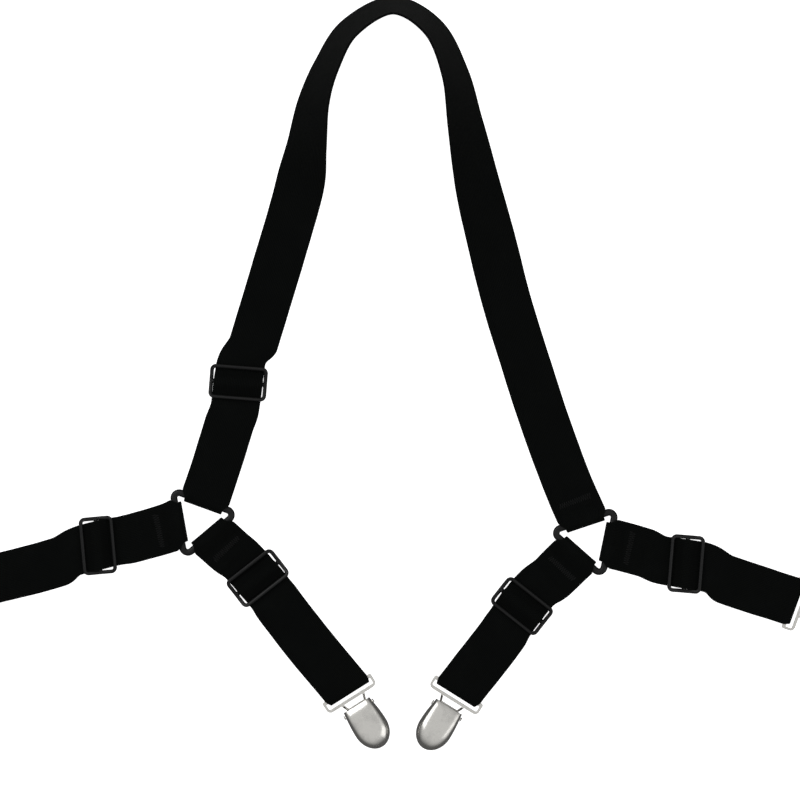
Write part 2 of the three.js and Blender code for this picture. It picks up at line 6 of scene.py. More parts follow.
import bmesh
import bpy
import numpy as np
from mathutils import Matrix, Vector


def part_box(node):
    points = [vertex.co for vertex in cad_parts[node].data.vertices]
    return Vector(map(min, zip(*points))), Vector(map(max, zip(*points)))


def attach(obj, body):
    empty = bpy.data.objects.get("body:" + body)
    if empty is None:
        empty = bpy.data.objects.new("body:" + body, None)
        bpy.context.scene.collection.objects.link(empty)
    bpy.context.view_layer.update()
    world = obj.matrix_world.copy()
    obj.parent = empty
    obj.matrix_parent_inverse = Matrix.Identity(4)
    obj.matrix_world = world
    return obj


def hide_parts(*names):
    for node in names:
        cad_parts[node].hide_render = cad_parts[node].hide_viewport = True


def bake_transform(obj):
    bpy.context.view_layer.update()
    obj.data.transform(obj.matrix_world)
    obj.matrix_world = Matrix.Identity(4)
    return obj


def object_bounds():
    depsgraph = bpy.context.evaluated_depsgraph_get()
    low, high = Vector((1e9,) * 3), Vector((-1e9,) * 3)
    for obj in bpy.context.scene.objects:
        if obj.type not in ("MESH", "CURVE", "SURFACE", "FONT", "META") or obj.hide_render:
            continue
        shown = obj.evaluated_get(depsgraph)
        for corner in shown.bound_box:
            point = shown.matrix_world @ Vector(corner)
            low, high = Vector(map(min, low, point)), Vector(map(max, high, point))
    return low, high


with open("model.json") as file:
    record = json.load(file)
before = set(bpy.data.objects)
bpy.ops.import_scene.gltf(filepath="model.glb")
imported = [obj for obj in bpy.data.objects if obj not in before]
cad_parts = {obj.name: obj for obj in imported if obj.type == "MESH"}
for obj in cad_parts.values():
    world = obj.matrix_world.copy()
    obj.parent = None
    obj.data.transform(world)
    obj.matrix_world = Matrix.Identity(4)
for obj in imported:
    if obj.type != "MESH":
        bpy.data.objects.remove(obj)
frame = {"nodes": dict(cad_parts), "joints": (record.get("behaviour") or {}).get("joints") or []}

cadLow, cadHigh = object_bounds()
joints = {joint["name"]: joint for joint in frame["joints"]}
mm = 0.001
armNames = ["left_outer", "left_inner", "right_inner", "right_outer"]
print("frame: %d nodes, %d joints" % (len(frame["nodes"]), len(joints)))


# ---- Materials ----

# A socket with arithmetic: each operator adds a Math node to the material that the socket is in.
class Wire:
    def __init__(self, finish, socket):
        self.finish = finish
        self.socket = socket

    def maths(self, operation, *others):
        return self.finish.maths(operation, self, *others)

    def __add__(self, other):
        return self.maths("ADD", other)

    def __radd__(self, other):
        return self.finish.maths("ADD", other, self)

    def __sub__(self, other):
        return self.maths("SUBTRACT", other)

    def __rsub__(self, other):
        return self.finish.maths("SUBTRACT", other, self)

    def __mul__(self, other):
        return self.maths("MULTIPLY", other)

    def __rmul__(self, other):
        return self.finish.maths("MULTIPLY", other, self)

    def __truediv__(self, other):
        return self.maths("DIVIDE", other)

    def __pow__(self, other):
        return self.maths("POWER", other)

    # 0 in the groove and 1 on the crest of waves of this length
    def wave(self, length):
        return self.maths("PINGPONG", length / 2) / (length / 2)

    # 0 below low and 1 above high, smooth between them
    def step(self, low, high):
        return self.finish.add("ShaderNodeMapRange", {"interpolation_type": "SMOOTHSTEP"},
                               {"Value": self, "From Min": low, "From Max": high})


# A material and its node tree. add() makes any node: its type, its settings, then its sockets.
class Finish:
    def __init__(self, name):
        self.material = bpy.data.materials.new(name)
        self.material.use_nodes = True
        self.tree = self.material.node_tree
        self.tree.nodes.clear()

    def add(self, kind, settings={}, sockets={}, output=0):
        node = self.tree.nodes.new(kind)
        for key, value in settings.items():
            setattr(node, key, value)
        for key, value in sockets.items():
            if isinstance(value, Wire):
                self.tree.links.new(value.socket, node.inputs[key])
            else:
                node.inputs[key].default_value = value
        return Wire(self, node.outputs[output]) if len(node.outputs) else None

    def maths(self, operation, *values):
        return self.add("ShaderNodeMath", {"operation": operation}, dict(enumerate(values)))

    # the piece's own map in metres: x runs along the piece and y across it
    def surface(self):
        return self.add("ShaderNodeUVMap", {"uv_map": "surface"})

    def place(self):
        return self.add("ShaderNodeTexCoord", output="Object")

    def split(self, vector):
        first = self.add("ShaderNodeSeparateXYZ", {}, {"Vector": vector})
        return first, Wire(self, first.socket.node.outputs["Y"])

    def scaled(self, vector, factors):
        return self.add("ShaderNodeVectorMath", {"operation": "MULTIPLY"}, {0: vector, 1: factors})

    def noise(self, vector, scale, detail=3, roughness=0.5):
        return self.add("ShaderNodeTexNoise", {}, {"Vector": vector, "Scale": scale, "Detail": detail,
                                                   "Roughness": roughness})

    def colours(self, factor, low, high):
        return self.add("ShaderNodeMix", {"data_type": "RGBA"}, {0: factor, 6: (*low, 1), 7: (*high, 1)}, 2)

    def bump(self, height, distance, strength=1.0):
        return self.add("ShaderNodeBump", {}, {"Height": height, "Distance": distance, "Strength": strength})

    def close(self, sockets):
        shader = self.add("ShaderNodeBsdfPrincipled", {}, sockets)
        self.add("ShaderNodeOutputMaterial", {}, {"Surface": shader})
        return self.material


elasticLooks = {
    "ribPitch": 0.00085,  # between two lengthwise ribs, in metres
    "stitchPitch": 0.0011,  # of the weft floats along a rib
    "ribHeight": 0.00007,
    # the groove colour below is painted shade, and the rib colour a painted highlight
    "shadedGrooveColour": (0.0012, 0.0014, 0.0013),
    "litRibColour": (0.0034, 0.0040, 0.0037),
    "lintColour": (0.0095, 0.0105, 0.0100),
    "edge": (0.0113, 0.0121),  # distances from the middle where the closer woven edge begins
}


# Rib wave across the strap times weft floats along each rib, every second rib half a float further on.
# A fine noise roughens the yarn, and a patchy one lays a little lint on the crests.
# The colour paints shade into the grooves and a highlight on the crests.
def wovenElastic():
    looks = elasticLooks
    finish = Finish("woven_elastic")
    surface = finish.surface()
    along, across = finish.split(surface)
    row = (across / looks["ribPitch"] + 100.5).maths("FLOOR")
    offset = row.maths("MODULO", 2) * (looks["stitchPitch"] / 2)
    ribWave = (across + looks["ribPitch"] * 100).wave(looks["ribPitch"])
    floatWave = (along + offset + looks["stitchPitch"] * 100).wave(looks["stitchPitch"])
    rib = 1 - ribWave ** 2
    weft = 1 - (1 - floatWave) ** 3
    yarn = finish.noise(finish.scaled(surface, (2600, 5200, 1)), 1, 2)
    patch = finish.noise(surface, 60, 4, 0.62)
    fromMiddle = across.maths("ABSOLUTE")
    selvedge = fromMiddle.step(*looks["edge"])
    cross = (along + 1.0).wave(looks["stitchPitch"] / 3)
    woven = rib * (0.62 + 0.38 * weft) * (1 - selvedge) + selvedge * (0.55 + 0.3 * cross)
    height = woven + 0.22 * yarn
    # painted highlight on the rib tops, varied in patches; the colour mix below paints shade into the
    # grooves
    litCrest = (woven * (0.6 + 0.5 * patch)).step(0.1, 1.0)
    lint = (patch * yarn).step(0.36, 0.5) * woven * 0.5
    shadedCloth = finish.colours(litCrest, looks["shadedGrooveColour"], looks["litRibColour"])
    colour = finish.add("ShaderNodeMix", {"data_type": "RGBA"},
                        {0: lint, 6: shadedCloth, 7: (*looks["lintColour"], 1)}, 2)
    return finish.close({
        "Base Color": colour,
        "Roughness": 0.94 - 0.14 * litCrest,
        "Specular IOR Level": 0.045,
        "Sheen Weight": 0.02,
        "Sheen Roughness": 0.4,
        "Normal": finish.bump(height, looks["ribHeight"], 0.9),
    })


threadLooks = {"twist": 0.00042, "colour": (0.006, 0.0065, 0.0065), "dark": (0.0015, 0.0016, 0.0016)}


# Two-ply thread: a slanting wave round and along the thread. Its colour paints shade into the grooves
# between the plies.
def sewingThread():
    finish = Finish("sewing_thread")
    along, around = finish.split(finish.surface())
    ply = (along + around * 0.6 + 1.0).wave(threadLooks["twist"])
    return finish.close({
        # painted shade: the grooves between the plies are coloured darker
        "Base Color": finish.colours(ply, threadLooks["dark"], threadLooks["colour"]),
        "Roughness": 0.75 - 0.2 * ply,
        "Specular IOR Level": 0.18,
        "Normal": finish.bump(ply, 0.00004),
    })


plasticLooks = {
    "black": (0.0034, 0.0035, 0.0036),
    "rubbed": (0.012, 0.012, 0.012),
    "grain": 900,  # moulding texture, cells per metre
    "scuff": 420,
}


# Moulded plastic: a fine even grain, flow marks that change the gloss, and short pale scuffs.
def mouldedPlastic(name, gloss, grainHeight):
    looks = plasticLooks
    finish = Finish(name)
    place = finish.place()
    grain = finish.noise(place, looks["grain"] * 3, 2, 0.6)
    flow = finish.noise(finish.scaled(place, (1, 1, 3)), 70, 3)
    scratch = finish.noise(finish.scaled(place, (1, 6, 2)), looks["scuff"], 5, 0.7)
    scuff = scratch.step(0.6, 0.74) * flow.step(0.4, 0.62)
    return finish.close({
        "Base Color": finish.colours(scuff * 0.6 + grain * 0.12, looks["black"], looks["rubbed"]),
        "Roughness": gloss + 0.12 * flow + 0.3 * scuff,
        "Specular IOR Level": 0.24,
        "Normal": finish.bump(grain + 0.8 * scuff, grainHeight),
    })


nickelLooks = {
    "bright": (0.80, 0.785, 0.745),
    "dull": (0.55, 0.54, 0.515),
    "polishLines": (120, 2600, 1),  # how the polishing lines are stretched along and across the piece
}


# Nickel plate: long polishing lines, a cloudy tarnish and fine pits, over a warm bright metal.
def polishedNickel():
    looks = nickelLooks
    finish = Finish("polished_nickel")
    surface = finish.surface()
    place = finish.place()
    lines = finish.noise(finish.scaled(surface, looks["polishLines"]), 1, 4, 0.65)
    cloud = finish.noise(place, 160, 4, 0.6)
    pits = finish.noise(place, 2600, 2, 0.5).step(0.66, 0.75)
    tarnish = cloud.step(0.46, 0.72)
    return finish.close({
        "Base Color": finish.colours(tarnish * 0.55 + pits * 0.4, looks["bright"], looks["dull"]),
        "Metallic": 1.0,
        "Roughness": 0.17 + 0.1 * tarnish + 0.09 * lines + 0.2 * pits,
        "Normal": finish.bump(lines * 0.6 - pits * 0.5 + cloud * 0.5, 0.000012),
    })


# The soft grip pad: matt, with a leathery grain and dust on its ridges.
def softPlastic():
    finish = Finish("soft_grip_plastic")
    place = finish.place()
    cells = finish.noise(place, 2200, 3, 0.6)
    dust = finish.noise(place, 260, 4, 0.6).step(0.5, 0.7)
    return finish.close({
        "Base Color": finish.colours(dust * 0.7, (0.012, 0.012, 0.012), (0.05, 0.049, 0.047)),
        "Roughness": 0.7 + 0.15 * dust,
        "Specular IOR Level": 0.3,
        "Normal": finish.bump(cells, 0.00004),
    })


elastic = wovenElastic()
thread = sewingThread()
ringPlastic = mouldedPlastic("moulded_ring_plastic", 0.3, 0.000008)
adjusterPlastic = mouldedPlastic("moulded_adjuster_plastic", 0.26, 0.000012)
nickel = polishedNickel()
gripPlastic = softPlastic()
print("materials: %d" % len(bpy.data.materials))


# ---- Meshes ----

# Quads between neighbouring points of a grid whose rows or columns may close on themselves.
def gridFaces(rows, columns, closeRows=False, closeColumns=True):
    index = np.arange(rows * columns).reshape(rows, columns)
    if closeRows:
        index = np.vstack([index, index[:1]])
    if closeColumns:
        index = np.hstack([index, index[:, :1]])
    corners = [index[:-1, :-1], index[1:, :-1], index[1:, 1:], index[:-1, 1:]]
    return np.stack(corners, axis=-1).reshape(-1, 4).tolist()


# A grid of points as a shell: (points, faces, map), with the two open ends closed by a face each if asked.
def gridShell(grid, surface, closeRows=False, closeColumns=True, caps=False):
    rows, columns = grid.shape[:2]
    faces = gridFaces(rows, columns, closeRows, closeColumns)
    if caps:
        faces.append(list(range(columns)))
        faces.append(list(range((rows - 1) * columns, rows * columns)))
    return grid.reshape(-1, 3), faces, surface.reshape(-1, 2)


# Turns points by a heading about the origin, then moves them to a place on the floor.
def placed(points, place):
    x, y, heading = place
    c, s = cos(radians(heading)), sin(radians(heading))
    turned = points.copy()
    turned[..., 0] = x + c * points[..., 0] - s * points[..., 1]
    turned[..., 1] = y + s * points[..., 0] + c * points[..., 1]
    return turned


def setMap(mesh, surface):
    corners = np.zeros(len(mesh.loops), dtype=np.int32)
    mesh.loops.foreach_get("vertex_index", corners)
    layer = mesh.uv_layers.new(name="surface")
    layer.uv.foreach_set("vector", (surface[corners] * mm).ravel().astype(np.float32))


def shade(mesh, crease):
    mesh.shade_smooth()
    mesh.set_sharp_from_angle(angle=radians(crease))


# A piece from its shells: doubles merged, faces turned outwards, smooth except across creases.
def makePiece(name, shells, material, place=None, crease=35):
    points, faces, surface = [], [], []
    for shellPoints, shellFaces, shellMap in shells:
        start = sum(len(block) for block in points)
        points.append(shellPoints if place is None else placed(shellPoints, place))
        faces += [[start + corner for corner in face] for face in shellFaces]
        surface.append(shellMap)
    mesh = bpy.data.meshes.new(name)
    mesh.from_pydata((np.vstack(points) * mm).tolist(), [], faces)
    setMap(mesh, np.vstack(surface))
    shape = bmesh.new()
    shape.from_mesh(mesh)
    bmesh.ops.remove_doubles(shape, verts=shape.verts, dist=1e-7)
    bmesh.ops.recalc_face_normals(shape, faces=shape.faces)
    shape.to_mesh(mesh)
    shape.free()
    shade(mesh, crease)
    mesh.materials.append(material)
    piece = bpy.data.objects.new(name, mesh)
    bpy.context.scene.collection.objects.link(piece)
    return piece


# Puts a modifier's result into the mesh and takes the modifier away.
def finished(piece, kind, settings):
    modifier = piece.modifiers.new(kind.lower(), kind)
    for key, value in settings.items():
        setattr(modifier, key, value)
    shape = piece.evaluated_get(bpy.context.evaluated_depsgraph_get())
    mesh = bpy.data.meshes.new_from_object(shape)
    piece.modifiers.clear()
    piece.data = mesh
    return piece


def rounded(piece, width, segments=3, angle=30):
    return finished(piece, "BEVEL", {"width": width * mm, "segments": segments, "limit_method": "ANGLE",
                                     "angle_limit": radians(angle), "use_clamp_overlap": False,
                                     "harden_normals": True})


# A merged copy of a CAD node with its edges rounded, mapped along and across the place that it was built at.
def roundedCopy(name, node, material, place, width):
    shape = bmesh.new()
    shape.from_mesh(frame["nodes"][node].data)
    bmesh.ops.remove_doubles(shape, verts=shape.verts, dist=2e-6)
    bmesh.ops.dissolve_limit(shape, angle_limit=radians(1), verts=shape.verts, edges=shape.edges)
    mesh = bpy.data.meshes.new(name)
    shape.to_mesh(mesh)
    shape.free()
    points = np.zeros(len(mesh.vertices) * 3)
    mesh.vertices.foreach_get("co", points)
    x, y, heading = place
    local = placed(points.reshape(-1, 3) / mm - (x, y, 0), (0, 0, -heading))
    for layer in list(mesh.uv_layers):
        mesh.uv_layers.remove(layer)
    setMap(mesh, local[:, :2])
    shade(mesh, 30)
    mesh.materials.clear()
    mesh.materials.append(material)
    piece = bpy.data.objects.new(name, mesh)
    bpy.context.scene.collection.objects.link(piece)
    return rounded(piece, width)


# ---- Where things are, from the frame ----

def headingOf(vector):
    return degrees(atan2(vector[1], vector[0]))


def toward(heading):
    return np.array([cos(radians(heading)), sin(radians(heading))])


ringLooks = {
    "outer": 11.9,  # from the middle to a side's outer face
    "hole": 8.3,
    "outerCorner": 4.5,
    "holeCorner": 0.8,
    "thickness": 2.6,
    "height": 3.525,  # of the bars' axes
    "boxiness": 0.78,
    "samples": 14,  # along each side, and round each corner
    "around": 24,
}


# A ring's side faces the long strap at a right angle to its fold joint's axis, a bar's distance away.
def ringPlace(side):
    joint = joints[f"ring_{side}_fold"]
    heading = headingOf(joint["axis"]) - 90
    x, y = np.array(joint["pos_m"][:2]) / mm - toward(heading) * (ringLooks["outer"] + ringLooks["hole"]) / 2
    return x, y, heading


# A clip's own x axis runs from its bail bar's axis towards the jaws, square to the axis it swings on.
def clipPlace(arm):
    joint = joints[f"{arm}_clip_swing"]
    x, y = np.array(joint["pos_m"][:2]) / mm
    return x, y, headingOf(joint["axis"]) + 90


# How far each adjuster sits turned from the way it slides, in degrees.
adjusterYaws = {"long": 9.4, "left_outer": -5.1, "left_inner": -1.0, "right_inner": 2.7, "right_outer": 9.5}


def adjusterPlace(name):
    low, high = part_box(f"{name}_adjuster")
    heading = headingOf(joints[f"{name}_adjust"]["axis"]) + adjusterYaws[name]
    return (low.x + high.x) / 2 / mm, (low.y + high.y) / 2 / mm, heading


# ---- Straps ----

strapLooks = {
    "width": 25.4,
    "thickness": 1.25,
    "lapped": 2.0,  # height of the middle line of a strap that lies on another layer
    "step": 0.6,  # between two sections
    "edgeRounding": 0.5,
    "waver": 0.05,  # how far the woven edges wander
    "ringLoop": {"height": ringLooks["height"], "radius": 2.9, "width": 20.4},
    "bailLoop": {"height": 2.65, "radius": 2.025, "width": 25.2},
    "adjusterWidth": 24.6,
    "foldNarrowing": 2,  # the corners are drawn in where a strap folds round a bail
    "centreBar": 2.5,  # height of the adjuster's centre bar
    "innerWrap": 1.825,
    "outerWrap": 3.325,
}

# Each route is a strap's middle line on the floor, from the ring bar where it is sewn to the bar where it
# folds back: x, y, and the strap's roll about its own length in degrees.
routeOrigin = (-104, -61.7)  # the left ring's middle, in the routes' own coordinates
longRoute = [
    (94.4, -61.92, 0), (85.5, -41.2, 0), (74.2, -10.3, 0), (64.2, 20.6, 0), (54.7, 51.5, 0),
    (46.9, 82.4, 7), (40, 110, 22), (33.6, 141.6, 43), (28.3, 167.3, 56), (17.2, 190.6, 62),
    (-3.6, 202.2, 65), (-25.9, 190.5, 62), (-37.5, 171.6, 57.6), (-44.5, 152, 49), (-48.2, 128.8, 33),
    (-52.7, 105.6, 0), (-63.9, 67, 0), (-75.6, 28.3, 0), (-92, -25.8, 0), (-100.56, -52.2, 0),
]
armRoutes = {
    "left_outer": [(-113.94, -63.47, 0), (-122.9, -67, 0), (-148.6, -74.3, 0), (-167.5, -80.7, 0),
                   (-185.4, -86.2, 0), (-206, -91.4, 0), (-216.2, -94.2, 0)],
    "left_inner": [(-97.2, -69.2, 0), (-80.3, -85, 0), (-67.7, -99, 0), (-47, -125.5, 0),
                   (-27.2, -149.15, 0)],
    "right_inner": [(90.9, -79.06, 0), (79.5, -90.3, 0), (63.7, -106, 0), (48.9, -126, 0),
                    (30.1, -149.9, 0)],
    "right_outer": [(107.5, -73.5, 0), (123.6, -77.9, 0), (146.9, -85.1, 0), (175.1, -94.9, 0),
                    (202, -103.6, 0)],
}


# A smooth curve through a route's points: on each span a cubic whose slope at a point is half the step
# between that point's two neighbours. It is sampled finely, and runs straight on beyond its ends.
class Route:
    def __init__(self, points, shift, samples=40):
        knots = np.array(points, float)
        knots[:, :2] += shift
        knots = np.vstack([2 * knots[0] - knots[1], knots, 2 * knots[-1] - knots[-2]])
        before, here, there, after = knots[:-3, None], knots[1:-2, None], knots[2:-1, None], knots[3:, None]
        slopeHere, slopeThere = (there - before) / 2, (after - here) / 2
        t = np.linspace(0, 1, samples, endpoint=False)[None, :, None]
        square = 3 * (there - here) - 2 * slopeHere - slopeThere
        cube = 2 * (here - there) + slopeHere + slopeThere
        line = (here + slopeHere * t + square * t ** 2 + cube * t ** 3).reshape(-1, 3)
        slope = (slopeHere + 2 * square * t + 3 * cube * t ** 2).reshape(-1, 3)
        self.line = np.vstack([line, knots[-2]])
        slope = np.vstack([slope, slopeThere[-1]])[:, :2]
        self.along = slope / np.linalg.norm(slope, axis=1, keepdims=True)
        steps = np.linalg.norm(np.diff(self.line[:, :2], axis=0), axis=1)
        self.distance = np.concatenate([[0], np.cumsum(steps)])
        self.length = self.distance[-1]

    # the point, direction and roll at each distance
    def at(self, distance):
        inside = np.clip(distance, 0, self.length)
        x, y, roll = (np.interp(inside, self.distance, self.line[:, k]) for k in range(3))
        ax, ay = (np.interp(inside, self.distance, self.along[:, k]) for k in range(2))
        size = np.hypot(ax, ay)
        ax, ay, beyond = ax / size, ay / size, distance - inside
        return x + ax * beyond, y + ay * beyond, ax, ay, np.radians(np.maximum(roll, 0))

    # how far along the route a place is abreast of
    def abreast(self, x, y):
        nearest = np.argmin(np.hypot(self.line[:, 0] - x, self.line[:, 1] - y))
        offset = np.array([x, y]) - self.line[nearest, :2]
        return self.distance[nearest] + offset @ self.along[nearest]


# 1 up to full, falling smoothly to 0 at none
def fade(distance, full, none):
    t = np.clip((distance - full) / (none - full), 0, 1)
    return 1 - t * t * (3 - 2 * t)


# A strap between its ring bar and its last bar: its width and how far its sections lean along it, so that
# they lie along each bar that isn't square to the route.
class Band:
    def __init__(self, name, points, shift, startHeading, endHeading, endLoop):
        self.name = name
        self.route = Route(points, shift)
        x, y, heading = adjusterPlace(name)
        self.adjusterAt = self.route.abreast(x, y)
        self.endLoop = endLoop
        atX, atY, ax, ay, _ = self.route.at(self.adjusterAt)
        self.slides = degrees(atan2(ay, ax))
        self.shift = (y - atY) * ax - (x - atX) * ay
        self.askew = np.tan(np.radians(adjusterYaws[name]))
        self.headings = (startHeading, heading, endHeading)

    def width(self, u):
        full, looks = strapLooks["width"], strapLooks
        ends = (-2.2, 3) if self.endLoop is looks["ringLoop"] else (8, 16)
        return (full - (full - looks["ringLoop"]["width"]) * fade(u, -2.2, 3)
                - (full - looks["adjusterWidth"]) * fade(np.abs(u - self.adjusterAt), 10, 16)
                - (full - self.endLoop["width"]) * fade(self.route.length - u, *ends)
                - (0 if self.endLoop is looks["ringLoop"] else looks["foldNarrowing"])
                * fade(self.route.length - u, -2.7, 1)
                + looks["waver"] * (np.sin(u / 5.3) + np.sin(u / 11.9 + 2) + 0.6 * np.sin(u / 2.3 + 4)))

    # minus the tangent of the angle from the route to each bar, faded out away from the bar
    def lean(self, u, heading):
        start, middle, end = (-np.tan(np.radians(bar) - heading) for bar in self.headings)
        return (start * fade(u, 6, 18) + middle * fade(np.abs(u - self.adjusterAt), 9, 19)
                + end * fade(self.route.length - u, 5, 17))

    # the adjuster's offset plus the tangent of its turn times the distance from it, faded out away from it
    def sway(self, u):
        return (self.shift + (u - self.adjusterAt) * self.askew) * fade(np.abs(u - self.adjusterAt), 9, 22)

    # Points in space for distances u along the band, shares v of its half width and heights h. Where the
    # band rolls, it turns about its right-hand edge, which stays on the floor.
    def points(self, u, v, h):
        x, y, ax, ay, roll = self.route.at(u)
        half = self.width(u) / 2
        side = v * half
        lift = np.sin(roll)
        out = self.sway(u) + side * np.cos(roll) - (h - strapLooks["thickness"] / 2) * lift
        lean = side * self.lean(u, np.arctan2(ay, ax))
        return np.stack([x - ay * out + ax * lean, y + ax * out + ay * lean,
                         (side + half) * lift + h * np.cos(roll)], axis=-1)


# Points of an arc about (u, height), with a third column that says how much the line may be smoothed there.
def arc(u, height, radius, fromDegrees, toDegrees, every=7):
    count = int(abs(toDegrees - fromDegrees) / every) + 1
    turn = np.radians(np.linspace(fromDegrees, toDegrees, count))
    return np.stack([u + radius * np.cos(turn), height + radius * np.sin(turn), np.zeros(count)], axis=1)


def bend(*points):
    return np.array([(u, height, 1) for u, height in points], float)


# From the tail sewn under the strap, round the ring bar, and along the floor to the adjuster.
def sewnLine(band):
    loop, floor, lapped = strapLooks["ringLoop"], strapLooks["thickness"] / 2, strapLooks["lapped"]
    at = band.adjusterAt
    return np.vstack([bend((15, floor), (7, floor)), arc(0, loop["height"], loop["radius"], 270, 62),
                      bend((7.6, lapped), (16, lapped), (19.5, floor), (at - 11, floor), (at - 7.95, 1.4))])


# From under the adjuster's first bar, over the centre bar, out to the fold, and back round the centre bar
# to the end that is sewn there.
def loopLine(band):
    looks, floor = strapLooks, strapLooks["thickness"] / 2
    at, end, loop = band.adjusterAt, band.route.length, band.endLoop
    return np.vstack([bend((at - 7.65, 1.42), (at - 5.7, 1.5)),
                      arc(at, looks["centreBar"], looks["outerWrap"], 135, 52),
                      bend((at + 5.92, 2.1), (at + 9.5, 2.05), (end - 14, 2.05)),
                      arc(end, loop["height"], loop["radius"], 105, -90),
                      bend((end - 6, floor), (at + 3, 0.65)),
                      arc(at, looks["centreBar"], looks["innerWrap"], 270, 45),
                      bend((at + 2.8, 2.28), (at + 3.7, 2.12))])


# Evenly spaced points along a line, smoothed a little on its arcs and more on its bends.
def evenLine(line, step):
    def spread(weights, values):
        reach = len(weights) // 2
        padded = np.vstack([np.repeat(values[:1], reach, 0), values, np.repeat(values[-1:], reach, 0)])
        return sum(w * padded[k:k + len(values)] for k, w in enumerate(weights / np.sum(weights)))
    lengths = np.concatenate([[0], np.cumsum(np.hypot(*np.diff(line[:, :2], axis=0).T))])
    even = np.linspace(0, lengths[-1], int(lengths[-1] / step) + 2)
    points = np.stack([np.interp(even, lengths, line[:, k]) for k in range(3)], axis=1)
    lightly = spread(np.array([1, 2, 1]), points)[:, :2]
    strongly = spread(np.exp(-(np.arange(-6, 7) / 2.4) ** 2), points)[:, :2]
    share = spread(np.ones(5), points[:, 2:])
    smooth = lightly * (1 - share) + strongly * share
    smooth[0], smooth[-1] = points[0, :2], points[-1, :2]
    return smooth, even


# The section's outline, from the middle of the upper face round both edges: shares of the half width and
# offsets from the middle line. The faces are flat with a slightly raised woven edge, and the two edges are
# rounded as half ellipses.
def closedSection():
    half, thick, edge = strapLooks["width"] / 2, strapLooks["thickness"] / 2, strapLooks["edgeRounding"]
    flat = np.array([0.3, 0.6, 0.82, 0.88, 0.91, 0.94]) * half
    bead = 1 + 0.05 * np.exp(-((np.abs(flat) - 0.91 * half) / 0.45) ** 2)
    turn = np.radians(np.linspace(90, -90, 9))
    rightV = np.concatenate([[0], flat, half - edge + edge * np.cos(turn), flat[::-1], [0]])
    rightT = np.concatenate([[thick], thick * bead, thick * np.sin(turn), -thick * bead[::-1], [-thick]])
    v = np.concatenate([rightV, -rightV[-2:0:-1]])
    t = np.concatenate([rightT, rightT[-2:0:-1]])
    return v / half, t


# A band of that section carried along a line; each section stands square to the line.
def bandShell(band, line):
    middle, travelled = evenLine(line, strapLooks["step"])
    slope = np.gradient(middle, axis=0)
    slope /= np.linalg.norm(slope, axis=1, keepdims=True)
    v, t = closedSection()
    u = middle[:, :1] - slope[:, 1:] * t
    h = middle[:, 1:] + slope[:, :1] * t
    shares = np.broadcast_to(v, u.shape)
    surface = np.stack([np.broadcast_to(travelled[:, None], u.shape),
                        shares * strapLooks["width"] / 2], axis=-1)
    return gridShell(band.points(u, shares, h), surface, caps=True)


stitchLooks = {"from": 9.2, "to": 12.4, "half": 8.6, "stitches": 30, "radius": 0.17, "sink": 0.16}


# A bar tack: thread that crosses the lapped strap's top face in a close zigzag and dips in at each turn.
def barTackShell(band):
    looks, around = stitchLooks, 6
    count = looks["stitches"] * 8
    t = np.linspace(0, looks["stitches"], count)
    swing = 2 / pi * np.arcsin(np.sin(pi * t))
    u = (looks["from"] + looks["to"]) / 2 + swing * (looks["to"] - looks["from"]) / 2
    side = looks["half"] * (2 * t / looks["stitches"] - 1)
    top = strapLooks["lapped"] + strapLooks["thickness"] / 2 + looks["radius"] * 0.5
    height = top - looks["sink"] * np.abs(swing) ** 8
    path = np.stack([u, side, height], axis=1)
    slope = np.gradient(path, axis=0)
    slope /= np.linalg.norm(slope, axis=1, keepdims=True)
    across = np.cross(slope, (0, 0, 1))
    across /= np.linalg.norm(across, axis=1, keepdims=True)
    up = np.cross(across, slope)
    turn = np.linspace(0, 2 * pi, around, endpoint=False)
    ring = looks["radius"] * (across[:, None] * np.cos(turn)[:, None] + up[:, None] * np.sin(turn)[:, None])
    tube = path[:, None] + ring
    spaced = band.points(tube[..., 0], tube[..., 1] / (band.width(tube[..., 0]) / 2), tube[..., 2])
    length = np.broadcast_to((t * (looks["to"] - looks["from"]))[:, None], tube.shape[:2])
    surface = np.stack([length, np.broadcast_to(turn * looks["radius"], tube.shape[:2])], axis=-1)
    return gridShell(spaced, surface, caps=True)


# The farthest and nearest that a band's edges reach along a direction, between two distances on its route.
def reach(band, direction, start, end):
    u, v = np.meshgrid(np.linspace(start, end, 200), [-1.0, 1.0])
    distances = band.points(u, v, np.full(u.shape, 0.0))[..., :2] @ direction
    return distances.min() * mm, distances.max() * mm


# Bakes a piece's placement into its mesh. The points along the direction at `fixed` and `moving` are worked
# out but not used, so the piece does not stretch between two bodies.
def stretch(piece, direction, fixed, moving):
    along = np.append(direction, 0)
    tuple(along * fixed)
    tuple(along * moving)
    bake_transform(piece)


# A strap's three pieces. `turned` swings the direction handed to stretch away from the adjuster's, and
# `heldTo` is the distance on the route that ends the span measured for `fixed`; stretch does nothing with
# either.
def makeBand(band, heldTo, turned=0):
    name, at = band.name, band.adjusterAt
    direction = toward(band.slides + turned)
    fixed = reach(band, direction, -3, heldTo)[1]
    moving = reach(band, direction, at - 10, at - 7.5)[0]
    upper = makePiece(f"{name}_woven_strap", [bandShell(band, sewnLine(band))], elastic)
    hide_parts(f"{name}_strap")
    tack = makePiece(f"{name}_bar_tack", [barTackShell(band)], thread, crease=80)
    for piece in (upper, tack):
        stretch(piece, direction, fixed, moving)
    lower = makePiece(f"{name}_woven_loop", [bandShell(band, loopLine(band))], elastic)
    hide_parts(f"{name}_strap_loop")
    along = toward(band.slides)
    fixed = reach(band, along, at - 8, at + 9)[1]
    moving = reach(band, along, band.route.length - 9, band.route.length + 3)[0]
    stretch(lower, along, fixed, moving)


